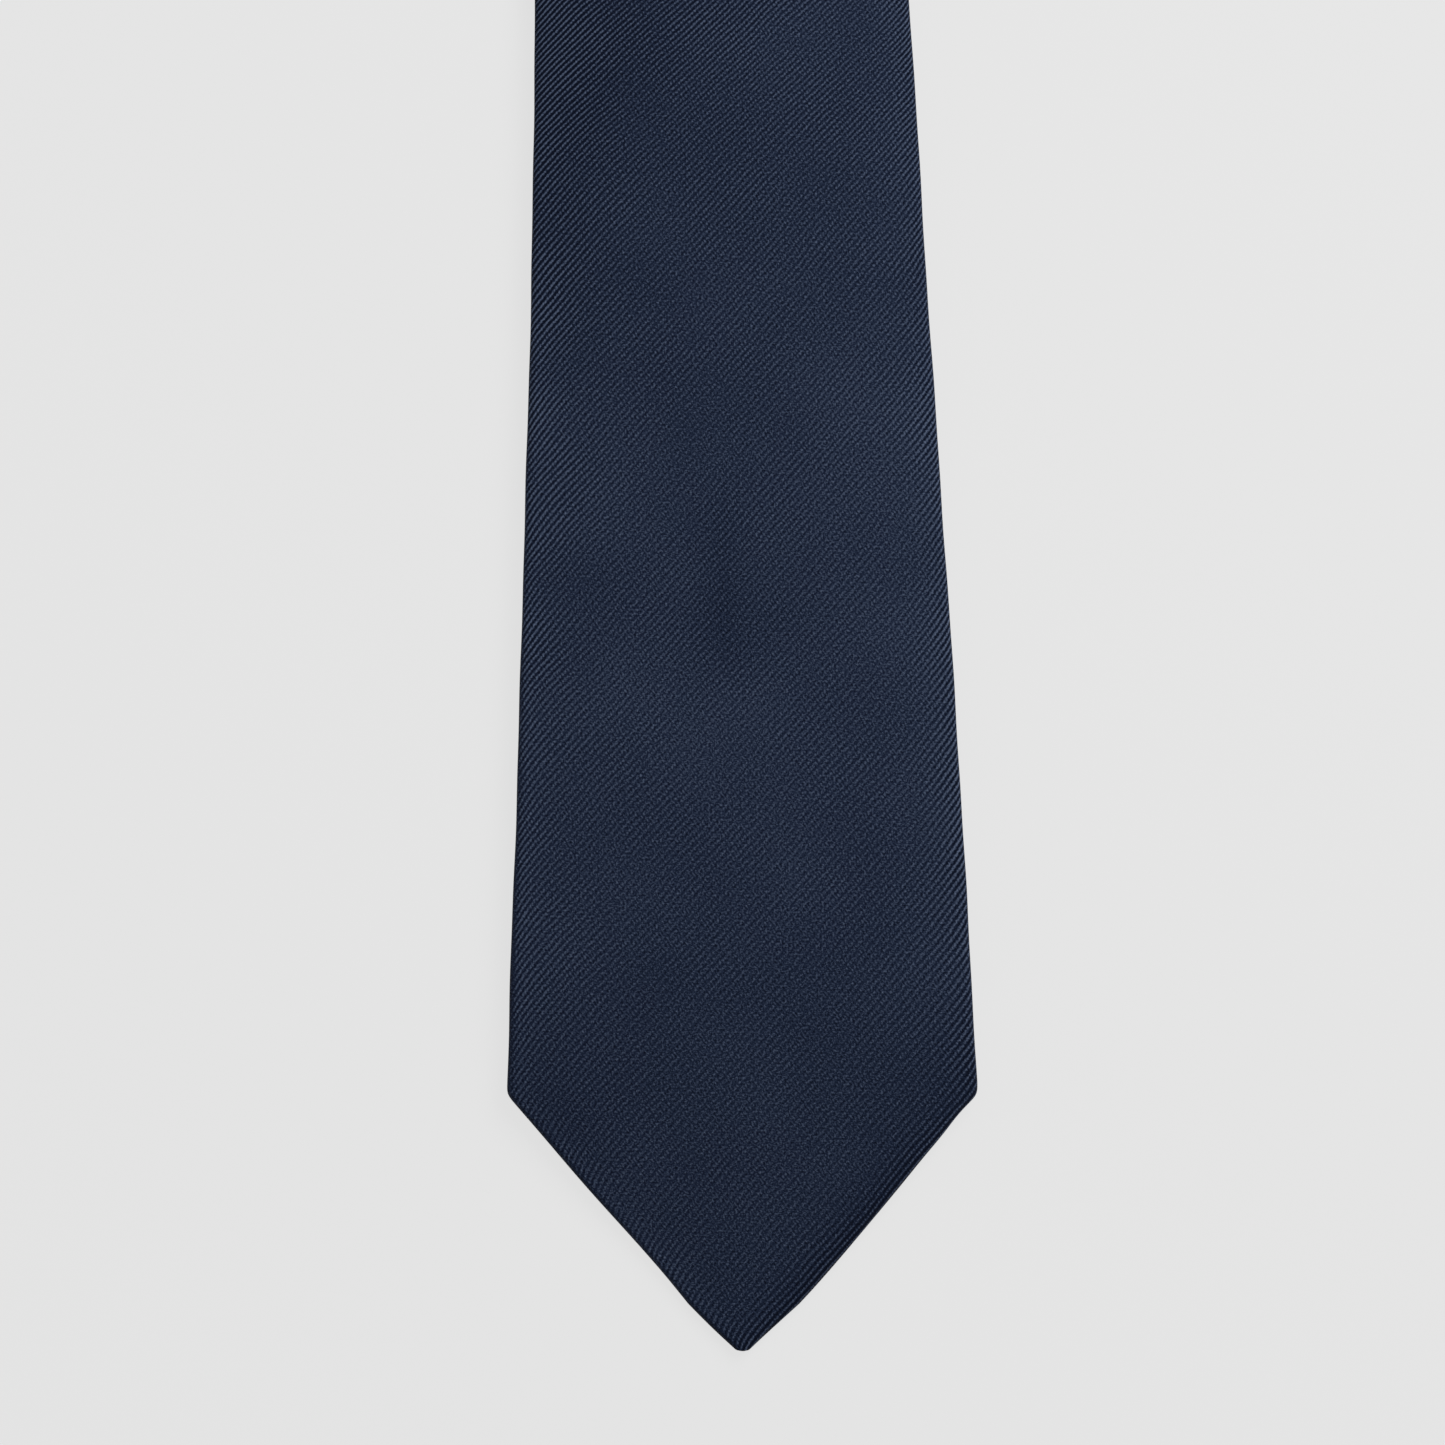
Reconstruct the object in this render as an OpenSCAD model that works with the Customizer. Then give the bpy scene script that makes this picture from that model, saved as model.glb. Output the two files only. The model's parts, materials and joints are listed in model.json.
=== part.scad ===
// Necktie, folded once at the neck and laid flat: front blade on top, tail underneath.
// The tip of the front blade points to -Y and the neck fold lies at +Y. X runs across,
// Z is up, and the underside of the tail rests on Z = 0.
// Every soft piece is swept along one band line: s runs from the tip of the front blade,
// over the neck fold, to the tip of the tail. Across the band, x is the distance from
// its centre line and n is the height over its back (seam) side.

/* [Blade] */
// Width of the front blade at its corners
blade_w = 80; // [60:1:95]
// Angle between the centre line and the side of either point
point_angle = 40.7; // [38:0.1:44]
// The same angle at the very tip, where the point is blunter
blunt_angle = 46.2; // [44:0.1:50]
// Length of that blunter stretch
blunt_len = 8.2; // [4:0.1:10]
// Width lost per millimetre of length above the corners
blade_taper = 0.0886; // [0.07:0.001:0.1]
// Length of the front leg, from its tip to the neck fold
front_len = 760; // [740:5:780]

/* [Tail] */
// Width of the tail at its corners
tail_w = 46; // [40:1:52]
// Width lost per millimetre of length above the tail's corners
tail_taper = 0.03; // [0.025:0.001:0.04]
// Length of the tail leg, from its tip to the neck fold
tail_len = 700; // [680:5:710]

/* [Neck] */
// Width of the band round the neck
neck_w = 34; // [30:1:38]
// Length of the neck panel on each leg, up to its piecing seam
neck_panel_len = 120; // [90:5:150]

/* [Layers] */
// Thickness of the finished band
band_t = 2.6; // [2.4:0.1:3]
// Thickness of the twill shell
shell_t = 0.35; // [0.3:0.05:0.4]
// Thickness of the tipping, the lining behind each point
tipping_t = 0.2; // [0.15:0.05:0.25]
// Clear height between the two legs
leg_gap = 1.2; // [1.1:0.1:1.6]
// Inner radius of the rolled neck fold
roll_r = 1.9; // [1.9:0.1:2.5]

/* [Back] */
// Width of the hem turned to the back along the points
hem_w = 9; // [7:0.5:12]
// Height of the bar tacks over the corners of the points
seam_start = 37; // [30:1:42]
// Distance of the keeper loop from the tip
keeper_s = 200; // [180:5:220]
// Width of the keeper loop across the blade
keeper_w = 44; // [36:1:50]
// Distance of the turn-back line from the tip
turn_s = 100; // [98:1:104]

/* [Hidden] */

tip_half = 0.85;      // half of the width where a point ends
taper_ease = 0.2;     // share of the taper that eases into the neck width
seam_gap = 0.4;       // half of the gap between the two back edges
layer_gap = 0.05;     // clearance between the layers inside the band
end_gap = 0.2;        // how far a rigid stretch ends before a fold
joint_gap = 0.05;     // half of the gap where two panels meet
turn_half = 4;        // half of the length of band in the turn-back fold
droop_len = 65;       // length over which the blade comes down to the table
rise_len = 40;        // length over which the front leg rises into the roll
bow_w = 5.7;          // sideways bow of the lie, as half of the height of a cosine wave
bow_lead = 93;        // where the wave starts, ahead of the corners
bow_run = 657;        // half the length of that wave
end_inset = 3;        // how far the inner layers stay back from the tips
navy = "#1d2740";
lining = "#1a2338";
canvas = "#e6e1d3";

lift = band_t + leg_gap;
roll_out = roll_r + band_t;
roll_len = PI * (roll_r + band_t / 2);
s_fold = front_len;
s_back = front_len + roll_len;
s_end = s_back + tail_len;
y_tip = -(front_len + roll_out) / 2;
y_fold = y_tip + front_len;

function smooth(t) = let (c = min(max(t, 0), 1)) c * c * (3 - 2 * c);
function steps(a, b, count) = [for (i = [0:count]) a + (b - a) * i / count];

// Half width where the blunter stretch at a tip ends
blunt_half = tip_half + blunt_len * tan(blunt_angle);

// Length of a point whose corners are w apart
function point_len(w) = blunt_len + (w / 2 - blunt_half) / tan(point_angle);
blade_point = point_len(blade_w);
tail_point = point_len(tail_w);

// Half width inside a point, d from its tip
function half_point(d) = d < blunt_len
    ? tip_half + d * tan(blunt_angle)
    : blunt_half + (d - blunt_len) * tan(point_angle);

// Half width above the corners, u from them: a straight taper that eases into the neck
function half_taper(u, w, slope) =
    let (drop = w - neck_w, a = (1 - taper_ease) * drop / slope,
         b = a + 2 * taper_ease * drop / slope)
    (u < a ? w - slope * u
     : u < b ? neck_w + taper_ease * drop * pow((b - u) / (b - a), 2)
     : neck_w) / 2;

function half_leg(d, w, point, slope) =
    d < point ? half_point(d) : half_taper(d - point, w, slope);
function half_w(s) = s < s_fold
    ? half_leg(s, blade_w, blade_point, blade_taper)
    : half_leg(max(s_end - s, 0), tail_w, tail_point, tail_taper);

// Sideways bow of the whole lie, which both legs share
function bow(y) =
    let (u = y - y_tip - blade_point)
    bow_w * (cos(180 * min(u + bow_lead, bow_run) / bow_run)
             - cos(180 * bow_lead / bow_run));

// Height of the front leg's back side
function front_z(y) =
    lift * smooth((y - y_tip) / droop_len)
    + (2 * roll_r + band_t - lift) * smooth((y - y_fold + rise_len) / rise_len);

// The point of the band at s, x across it and n over its back side
function at(s, x, n) =
    s < s_fold ? let (y = y_tip + s) [bow(y) + x, y, front_z(y) + n]
    : s < s_back ? let (a = 90 - 180 * (s - s_fold) / roll_len, r = roll_r + n)
        [bow(y_fold) + x, y_fold + r * cos(a), roll_out + r * sin(a)]
    : let (y = y_fold - (s - s_back)) [bow(y) + x, y, band_t - n];

// A solid from one ring of [x, n] points at each station. The second half of a ring
// runs back along the first, so opposite points make the triangles of the end caps.
module sweep(stations, rings) {
    n = len(rings[0]);
    last = len(stations) - 1;
    points = [for (i = [0:last]) for (p = rings[i]) at(stations[i], p[0], p[1])];
    sides = [for (i = [0:last - 1]) for (j = [0:n - 1])
        let (k = (j + 1) % n, a = i * n, b = a + n)
        each [[a + j, b + j, b + k], [a + j, b + k, a + k]]];
    near_cap = [for (j = [0:n / 2 - 2])
        each [[j, j + 1, n - 2 - j], [j, n - 2 - j, n - 1 - j]]];
    far_cap = [for (t = near_cap) [for (j = [2:-1:0]) last * n + t[j]]];
    polyhedron(points, concat(near_cap, sides, far_cap), convexity = 6);
}

function edge_r(s) = min(band_t / 2, half_w(s) / 2);
function half_t(s) = min(band_t / 2, half_w(s) + 0.3);

// Half of one face of the shell, from its back edge round its side to its front
function side_arc(s, inset, way) =
    let (h = half_w(s) - edge_r(s), rx = edge_r(s) - inset, rn = half_t(s) - inset)
    [for (a = [-90:30:90])
        [way * (h + rx * cos(a)), band_t / 2 + rn * sin(a)]];
function flip(list) = [for (i = [len(list) - 1:-1:0]) list[i]];

// Where the back edge of the shell lies: hem along the point, open V, then the seam
function back_edge(s) =
    let (front = s < s_fold, d = front ? s : s_end - s,
         point = front ? blade_point : tail_point,
         reach = front ? seam_start : seam_start * tail_w / blade_w,
         open = (point + reach - d) * tan(point_angle))
    max(seam_gap, min(half_w(s) - hem_w, open));

// Section of the shell: front, two sides, and two back flaps
function shell_ring(s) =
    let (e = min(back_edge(s), half_w(s) - edge_r(s) - 0.02),
         low = band_t / 2 - half_t(s))
    concat([[-e, low]], side_arc(s, 0, -1), flip(side_arc(s, 0, 1)), [[e, low]],
           [[e, low + shell_t]], side_arc(s, shell_t, 1),
           flip(side_arc(s, shell_t, -1)), [[-e, low + shell_t]]);

// Flat section from n_low to n_high that fits between the rounded sides
function slab_ring(s, n_low, n_high) =
    let (h = half_w(s) - edge_r(s))
    [[-h, n_low], [-h, n_high], [h, n_high], [h, n_low]];
function strip_ring(x, n_low, n_high) =
    [[-x, n_low], [-x, n_high], [x, n_high], [x, n_low]];

module shell_piece(stations)
    sweep(stations, [for (s = stations) shell_ring(s)]);
module interlining_piece(stations)
    sweep(stations, [for (s = stations)
        slab_ring(s, shell_t + tipping_t + 2 * layer_gap, band_t - shell_t - layer_gap)]);
module tipping_piece(stations)
    sweep(stations, [for (s = stations)
        slab_ring(s, shell_t + layer_gap, shell_t + layer_gap + tipping_t)]);
module strip_piece(stations, x, n_low, n_high)
    sweep(stations, [for (s = stations) strip_ring(x, n_low, n_high)]);

s_turn_a = turn_s - turn_half;
s_turn_b = turn_s + turn_half;
s_seam_a = s_fold - neck_panel_len;
s_seam_b = s_back + neck_panel_len;
s_tack_a = blade_point + seam_start;
s_tack_b = s_end - tail_point - seam_start * tail_w / blade_w;
turn = steps(s_turn_a, s_turn_b, 4);
roll = steps(s_fold, s_back - 0.001, 12);
rise = steps(s_seam_a + joint_gap, s_fold - end_gap, 12);
rear = steps(s_back + end_gap, s_seam_b - joint_gap, 3);
upper = steps(s_turn_b + joint_gap, s_seam_a - joint_gap, 14);
lower_tail = steps(s_seam_b + joint_gap, s_tack_b - 4, 10);

// Stations over the front blade's point, close together where the outline turns
function point_stations(from, reach) = concat(
    steps(from, from + end_inset, 3), steps(from + 2 * end_inset, blade_point - 1, 6),
    [blade_point], steps(blade_point + 6, s_tack_a, 5), [reach]);
tail_stations = concat(
    lower_tail, steps(s_tack_b, s_end - tail_point - 3, 3), [s_end - tail_point],
    steps(s_end - tail_point + 1, s_end - 2 * end_inset, 5),
    steps(s_end - end_inset, s_end, 3));
function within(list, a, b) = concat([a], [for (s = list) if (s > a && s < b) s], [b]);

module blade_point_shell() color(navy)
    shell_piece(point_stations(0, s_turn_a - joint_gap));
module blade_point_interlining() color(canvas)
    interlining_piece(within(point_stations(0, turn_s), end_inset, s_turn_a - joint_gap));
module blade_tipping() color(lining)
    tipping_piece(within(point_stations(0, turn_s), end_inset, s_turn_a - joint_gap));
module blade_bar_tack() color(navy)
    strip_piece([s_tack_a + 1.5, s_tack_a + 2.7], 3.5, -0.32, -0.03);
module blade_turn_shell() color(navy) shell_piece(turn);
module blade_turn_interlining() color(canvas) interlining_piece(turn);
module blade_shell() color(navy) shell_piece(upper);
module blade_interlining() color(canvas) interlining_piece(upper);
module front_slip_stitch() color(navy)
    strip_piece(within(concat(upper, rise), s_turn_b + 1, s_fold - 1), 0.2, 0.05, 0.3);
module neck_shell_front() color(navy) shell_piece(rise);
module neck_interlining_front() color(canvas) interlining_piece(rise);
module neck_turn_shell() color(navy) shell_piece(roll);
module neck_turn_interlining() color(canvas) interlining_piece(roll);
module neck_shell_rear() color(navy) shell_piece(rear);
module neck_interlining_rear() color(canvas) interlining_piece(rear);
module tail_shell() color(navy) shell_piece(tail_stations);
module tail_interlining() color(canvas)
    interlining_piece(within(tail_stations, s_seam_b + joint_gap, s_end - end_inset));
module tail_tipping() color(lining)
    tipping_piece(within(tail_stations, s_tack_b - 16, s_end - end_inset));
module tail_bar_tack() color(navy)
    strip_piece([s_tack_b - 2.7, s_tack_b - 1.5], 3, -0.32, -0.03);
module rear_slip_stitch() color(navy)
    strip_piece(within(concat(rear, lower_tail), s_back + 1, s_tack_b - 4),
                0.2, 0.05, 0.3);

// Keeper: a low bridge of the shell's own twill across the seam
keeper_t = 0.3;
keeper_rise = 0.36;
function sag(x) = -0.04 - keeper_rise * (1 - pow(abs(2 * x / keeper_w), 6));
keeper_xs = steps(-keeper_w / 2, keeper_w / 2, 16);
keeper_ring = concat([for (x = keeper_xs) [x, sag(x)]],
                     [for (x = flip(keeper_xs)) [x, sag(x) - keeper_t]]);
module keeper_loop() color(navy)
    sweep([keeper_s, keeper_s + 7, keeper_s + 14], [for (i = [1:3]) keeper_ring]);

// Care label: a small blank tag sewn to the back over the keeper
module care_label() color("#dcdcd6")
    strip_piece([keeper_s + 16, keeper_s + 36], 8, -0.22, -0.04);

blade_point_shell();
blade_point_interlining();
blade_tipping();
blade_bar_tack();
blade_turn_shell();
blade_turn_interlining();
blade_shell();
blade_interlining();
keeper_loop();
care_label();
front_slip_stitch();
neck_shell_front();
neck_interlining_front();
neck_turn_shell();
neck_turn_interlining();
neck_shell_rear();
neck_interlining_rear();
tail_shell();
tail_interlining();
tail_tipping();
tail_bar_tack();
rear_slip_stitch();
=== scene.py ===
import json
import math

import bpy
import numpy as np
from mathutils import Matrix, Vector


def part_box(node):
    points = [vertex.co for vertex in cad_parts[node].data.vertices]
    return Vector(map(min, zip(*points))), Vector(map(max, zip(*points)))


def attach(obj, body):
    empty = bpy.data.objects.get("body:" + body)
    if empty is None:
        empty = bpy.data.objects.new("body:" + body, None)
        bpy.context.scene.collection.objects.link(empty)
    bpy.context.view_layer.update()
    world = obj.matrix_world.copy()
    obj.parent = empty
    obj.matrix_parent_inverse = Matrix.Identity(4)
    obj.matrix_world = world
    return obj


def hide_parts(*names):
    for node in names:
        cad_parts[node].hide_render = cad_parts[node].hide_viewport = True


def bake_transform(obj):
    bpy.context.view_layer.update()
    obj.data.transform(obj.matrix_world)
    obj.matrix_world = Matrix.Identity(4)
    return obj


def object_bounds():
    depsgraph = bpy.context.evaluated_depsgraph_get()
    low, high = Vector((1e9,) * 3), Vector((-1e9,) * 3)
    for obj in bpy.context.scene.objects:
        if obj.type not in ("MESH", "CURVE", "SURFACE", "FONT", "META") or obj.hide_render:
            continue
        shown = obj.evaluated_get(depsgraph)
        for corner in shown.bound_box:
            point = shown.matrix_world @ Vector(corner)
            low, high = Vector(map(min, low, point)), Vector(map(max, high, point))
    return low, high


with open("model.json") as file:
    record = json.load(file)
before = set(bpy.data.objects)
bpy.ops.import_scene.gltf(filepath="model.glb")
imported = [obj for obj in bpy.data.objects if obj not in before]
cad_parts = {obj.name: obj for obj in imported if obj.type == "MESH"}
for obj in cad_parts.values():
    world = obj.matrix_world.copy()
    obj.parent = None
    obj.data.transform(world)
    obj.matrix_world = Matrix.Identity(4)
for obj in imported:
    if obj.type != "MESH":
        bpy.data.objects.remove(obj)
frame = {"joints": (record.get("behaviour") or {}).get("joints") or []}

MM = 0.001
CAD_BOX = [list(p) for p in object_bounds()]
JOINTS = {j["name"]: j for j in frame["joints"]}

# ---- sizes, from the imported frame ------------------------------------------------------
LOW, HIGH = CAD_BOX
PIVOT_Y, ROLL_OUT = JOINTS["neck_fold"]["pos_m"][1:]
TURN_Y = JOINTS["blade_turn_back"]["pos_m"][1]
BAND_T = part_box("neck_shell_rear")[1][2]
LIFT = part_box("blade_shell")[0][2]
TIP_Y = LOW[1]
BLADE_W = HIGH[0] - LOW[0]
NECK_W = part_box("neck_turn_shell")[1][0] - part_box("neck_turn_shell")[0][0]
ROLL_R = ROLL_OUT - BAND_T
FOLD_Y = PIVOT_Y - ROLL_R - BAND_T / 2
ROLL_LEN = math.pi * (ROLL_R + BAND_T / 2)
S_FOLD = FOLD_Y - TIP_Y
S_BACK = S_FOLD + ROLL_LEN
S_END = S_BACK + FOLD_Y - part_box("tail_shell")[0][1]
S_TURN = TURN_Y - TIP_Y
S_SEAM_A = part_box("blade_shell")[1][1] - TIP_Y
S_SEAM_B = S_BACK + FOLD_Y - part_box("tail_shell")[1][1]
KEEPER_LOW, KEEPER_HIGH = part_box("keeper_loop")
LABEL_LOW, LABEL_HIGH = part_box("care_label")

# ---- the tailor's own measures ---------------------------------------------------------
TAIL_W = 46 * MM
POINT_SLOPE = math.tan(math.radians(40.7))    # side of a point, out from its centre line
BLUNT_SLOPE = math.tan(math.radians(46.2))    # the same over the blunter very tip
BLUNT_LEN = 8.2 * MM
TIP_HALF = 0.85 * MM
BLADE_TAPER, TAIL_TAPER, TAPER_EASE = 0.0886, 0.03, 0.2
DROOP_LEN, RISE_LEN = 65 * MM, 40 * MM
BOW_W, BOW_LEAD, BOW_RUN = 5.7 * MM, 93 * MM, 657 * MM
SHELL_T, TIPPING_T, LAYER_GAP = 0.35 * MM, 0.2 * MM, 0.05 * MM
HEM_W, SEAM_RISE, SEAM_GAP = 9 * MM, 37 * MM, 0.04 * MM
TURN_HALF = 4 * MM

BLUNT_HALF = TIP_HALF + BLUNT_LEN * BLUNT_SLOPE
BLADE_POINT = BLUNT_LEN + (BLADE_W / 2 - BLUNT_HALF) / POINT_SLOPE
TAIL_POINT = BLUNT_LEN + (TAIL_W / 2 - BLUNT_HALF) / POINT_SLOPE


def smooth(t):
    c = np.clip(t, 0, 1)
    return c * c * (3 - 2 * c)


def soft_min(a, b, k):
    """The smaller of a and b, rounded over about k where they cross."""
    return -k * np.logaddexp(-a / k, -b / k)


def half_point(d):
    """Half width of a point, d from its tip, with the tip itself rounded."""
    line = np.where(d < BLUNT_LEN, TIP_HALF + d * BLUNT_SLOPE,
                    BLUNT_HALF + (d - BLUNT_LEN) * POINT_SLOPE)
    cap_len, cap_half = 0.8 * MM, 1.75 * MM
    cap = cap_half * np.sqrt(np.clip(1 - (1 - np.clip(d / cap_len, 0, 1)) ** 2, 0.012, 1))
    return np.where(d < cap_len, np.minimum(line, cap), line)


def half_taper(u, width, slope):
    """Half width u above the corners: a straight taper that eases into the neck."""
    drop = width - NECK_W
    a = (1 - TAPER_EASE) * drop / slope
    b = a + 2 * TAPER_EASE * drop / slope
    eased = NECK_W + TAPER_EASE * drop * (np.clip(b - u, 0, None) / (b - a)) ** 2
    return np.where(u < a, width - slope * u, eased) / 2


def half_width(s, corner=0.35 * MM):
    s = np.asarray(s, float)
    front = soft_min(half_point(s), half_taper(s - BLADE_POINT, BLADE_W, BLADE_TAPER), corner)
    d = np.clip(S_END - s, 0, None)
    tail = soft_min(half_point(d), half_taper(d - TAIL_POINT, TAIL_W, TAIL_TAPER), corner)
    return np.where(s < S_FOLD, front, tail)


def bow(y):
    """Sideways bow of the whole lie, which both legs share."""
    u = np.minimum(y - TIP_Y - BLADE_POINT + BOW_LEAD, BOW_RUN)
    return BOW_W * (np.cos(math.pi * u / BOW_RUN) - math.cos(math.pi * BOW_LEAD / BOW_RUN))


def front_z(y):
    """Height of the front leg's back side: down to the table at the tip, up into the roll."""
    return (LIFT * smooth((y - TIP_Y) / DROOP_LEN)
            + (2 * ROLL_R + BAND_T - LIFT) * smooth((y - FOLD_Y + RISE_LEN) / RISE_LEN))


def place(s, x, n):
    """Points of the band at s, x across it and n over its back side, as an (m, 3) array."""
    s, x, n = np.broadcast_arrays(*(np.asarray(v, float) for v in (s, x, n)))
    angle = math.pi / 2 - math.pi * np.clip((s - S_FOLD) / ROLL_LEN, 0, 1)
    y_front, y_tail = TIP_Y + s, FOLD_Y - (s - S_BACK)
    y_line = np.where(s <= S_FOLD, y_front, np.where(s < S_BACK, FOLD_Y, y_tail))
    reach = ROLL_R + n
    y = np.where(s <= S_FOLD, y_front,
                 np.where(s < S_BACK, FOLD_Y + reach * np.cos(angle), y_tail))
    z = np.where(s <= S_FOLD, front_z(y_front) + n,
                 np.where(s < S_BACK, ROLL_OUT + reach * np.sin(angle), BAND_T - n))
    return np.stack([bow(y_line) + x, y, z], -1)


def back_edge(s):
    """Inner edge of the back flaps: hem along the point, open V above it, then the seam."""
    front = s < S_FOLD
    d = s if front else S_END - s
    point = BLADE_POINT if front else TAIL_POINT
    reach = SEAM_RISE * (1 if front else TAIL_W / BLADE_W)
    v_side = (point + reach - d) * POINT_SLOPE
    return max(SEAM_GAP, min(float(half_width(s)) - HEM_W, v_side))


# ---- meshes ----------------------------------------------------------------------------
FRONT_STEPS, SIDE_STEPS, FLAP_STEPS = 44, 9, 14
FLAP_EASE = 1.7              # crowds a flap's points towards its back edge
TIP_HALF_T = 0.3 * MM        # half the thickness left at the very tip
TIP_LEAN = 0.35 * MM         # how far the very tip leans to the left
CROWN_DROP = 0.45 * MM       # how much thinner the band is at its sides
CROWN_LEN = 15 * MM          # over which it loses that
EDGE_TUCK = 0.20 * MM        # how far a back edge rolls into the band
EDGE_TUCK_LEN = 0.6 * MM     # over which it does
SIDE_CLEAR = 8 * MM          # relief dies away this near a side
NARROW = 20 * MM             # half width below which waver and relief fade


def side_wobble(s, phase):
    """The small waver of a soft pressed edge."""
    return (0.05 * np.sin(2 * math.pi * s / (41 * MM) + phase)
            + 0.03 * np.sin(2 * math.pi * s / (17.3 * MM) + 2.1 * phase)) * MM


def swell(s, centre, reach):
    """A soft rise to 1 at centre that dies away over reach."""
    return math.exp(-((s - centre * MM) / (reach * MM)) ** 2)


def side_lie(s):
    """How far the left and right sides lie outside the even outline at s."""
    left = (0.25 * swell(s, 62, 25) - 0.42 * swell(s, 185, 45)
            + 0.35 * swell(s, 28, 14) + 0.50 * swell(s, 5, 6))
    right = (0.35 * swell(s, 225, 25) + 0.12 * swell(s, 107, 30) + 0.40 * swell(s, 17, 10)
             - 0.45 * swell(s, 40.6, 3) - 0.15 * swell(s, 34, 5))
    return left * MM, right * MM


def relief(s, x):
    """Gentle rises and dips in the lie of the cloth."""
    a, b = s / (63 * MM), x / (34 * MM)
    return 0.10 * MM * (np.sin(2 * a + 1.3 * b + 0.6) + 0.7 * np.sin(3.7 * a - 2.2 * b + 2.0)
                        + 0.5 * np.sin(5.9 * a + 3.1 * b))


def shell_outline(s):
    """The outer line of the shell's section, from one back edge round to the other."""
    h = float(half_width(s))
    edge = min(BAND_T / 2, h / 2)
    full = min(1, h / NARROW)
    drop = CROWN_DROP * min(1, 2 * h / NARROW)
    low = BAND_T / 2 - min(BAND_T / 2, h + TIP_HALF_T)
    mid = (BAND_T - drop + low) / 2
    rise = mid - low
    flat = h - edge
    seam = min(back_edge(s), flat - 0.02 * MM)
    tau = np.sin(np.linspace(-math.pi / 2, math.pi / 2, FRONT_STEPS + 1))
    crown = min(CROWN_LEN, flat)
    front_x = flat * tau
    front_n = BAND_T - drop * smooth((np.abs(front_x) - flat + crown) / crown)
    front_n += relief(s, front_x) * smooth((flat - np.abs(front_x)) / SIDE_CLEAR) * full
    front_n = np.minimum(front_n, BAND_T)
    turn = np.linspace(-math.pi / 2, math.pi / 2, SIDE_STEPS + 1)[:-1]
    left = [(-flat - edge * math.cos(a), mid + rise * math.sin(a)) for a in turn]
    flap = [(-seam - (flat - seam) * t ** FLAP_EASE, low)
            for t in np.linspace(0, 1, FLAP_STEPS + 1)[:-1]]
    flap = [(x, n + EDGE_TUCK * math.exp(-((x + seam) / EDGE_TUCK_LEN) ** 2)) for x, n in flap]
    half = flap + left
    other = [(-x, n) for x, n in reversed(half)]
    line = np.array(half + list(zip(front_x, front_n)) + other)
    waver = np.where(line[:, 0] < 0, side_wobble(s, 0.4), side_wobble(s, 2.0))
    waver *= smooth(np.abs(line[:, 0]) / max(flat, 1e-6)) * full
    left_lie, right_lie = side_lie(s)
    lie = np.where(line[:, 0] < 0, left_lie * line[:, 0], right_lie * line[:, 0]) / h
    line[:, 0] += waver + lie - TIP_LEAN * swell(s, 0, 7)
    return line


def inward(line, depth):
    """The same line moved depth to its inner side."""
    along = np.gradient(line, axis=0)
    along /= np.maximum(np.linalg.norm(along, axis=1, keepdims=True), 1e-12)
    return line + depth * np.stack([along[:, 1], -along[:, 0]], -1)


RIBS_AT, RIBS_END = 43 * MM, 260 * MM     # where ribs are counted, and end growing finer
RIBS_ACROSS, FINER_ACROSS = 697, 887      # ribs to the metre there, and gained in a metre
RIBS_ALONG, FINER_ALONG = 622, 928        # the same along the blade
FLATTER = 5.5                             # ribs more along the blade where they lie flatter
FLATTER_AT, FLATTER_LEN = 196 * MM, 50 * MM
PULL_LOW, PULL_EASED = 1.2, 0.6           # ribs lost to the left side, and fewer up the blade
PULL_EASES_AT, PULL_EASES_LEN = 100 * MM, 120 * MM


def rib_phase(u, v, left, right):
    """Ribs counted across the cloth: about 45 degrees, a little finer up the blade, flatter
    20 to 25 cm up it, and steeper where the cloth was drawn round its sides, the left one
    most."""
    w = np.minimum(v, RIBS_END)
    per_u = RIBS_ACROSS + FINER_ACROSS * (w - RIBS_AT)
    per_v = RIBS_ALONG + FINER_ALONG * (w - RIBS_AT)
    along = RIBS_ALONG * w + FINER_ALONG * (w * w / 2 - RIBS_AT * w) + (v - w) * per_v
    along = along + FLATTER * smooth((v - FLATTER_AT) / FLATTER_LEN)
    pull = PULL_LOW - PULL_EASED * smooth((v - PULL_EASES_AT) / PULL_EASES_LEN)
    drawn = 0.7 * np.exp(-right / (3 * MM)) - pull * np.exp(-left / (2.4 * MM))
    return per_u * u - along + drawn


def cross_phase(u, v):
    """Weft threads, which run across the ribs."""
    return (0.70 * u + 0.72 * v) / (0.62 * MM)


def piecing_gap(s, u):
    """How far the cloth at s, u is from the nearer of the two diagonal piecing seams."""
    return (s - S_SEAM_A + u if s < S_FOLD else s - S_SEAM_B - u) / math.sqrt(2)


FAR_FROM_SIDES = 20 * MM     # for threads, which have no sides of their own
SHARP_FROM = math.radians(50)


def new_object(name, points, faces, cloth, material, sides=None):
    """A smooth-shaded mesh object with its cloth and weave coordinates, and how far each
    point is from the band's left and right sides and from a piecing seam."""
    mesh = bpy.data.meshes.new(name)
    mesh.from_pydata([tuple(p) for p in points], [], faces)
    mesh.polygons.foreach_set("use_smooth", [True] * len(mesh.polygons))
    u, v = np.asarray(cloth, float).T
    if sides is None:
        sides = np.full((len(u), 3), FAR_FROM_SIDES)
    for label, values in (("cloth", (u / MM, v / MM, 0 * u)),
                          ("weave", (rib_phase(u, v, sides[:, 0], sides[:, 1]),
                                     cross_phase(u, v), 0 * u)),
                          ("sides", sides.T / MM)):
        layer = mesh.attributes.new(label, "FLOAT_VECTOR", "POINT")
        layer.data.foreach_set("vector", np.stack(values, -1).astype(np.float32).ravel())
    mesh.update()
    mesh.set_sharp_from_angle(angle=SHARP_FROM)
    obj = bpy.data.objects.new(name, mesh)
    bpy.context.scene.collection.objects.link(obj)
    mesh.materials.append(material)
    return obj


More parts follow.
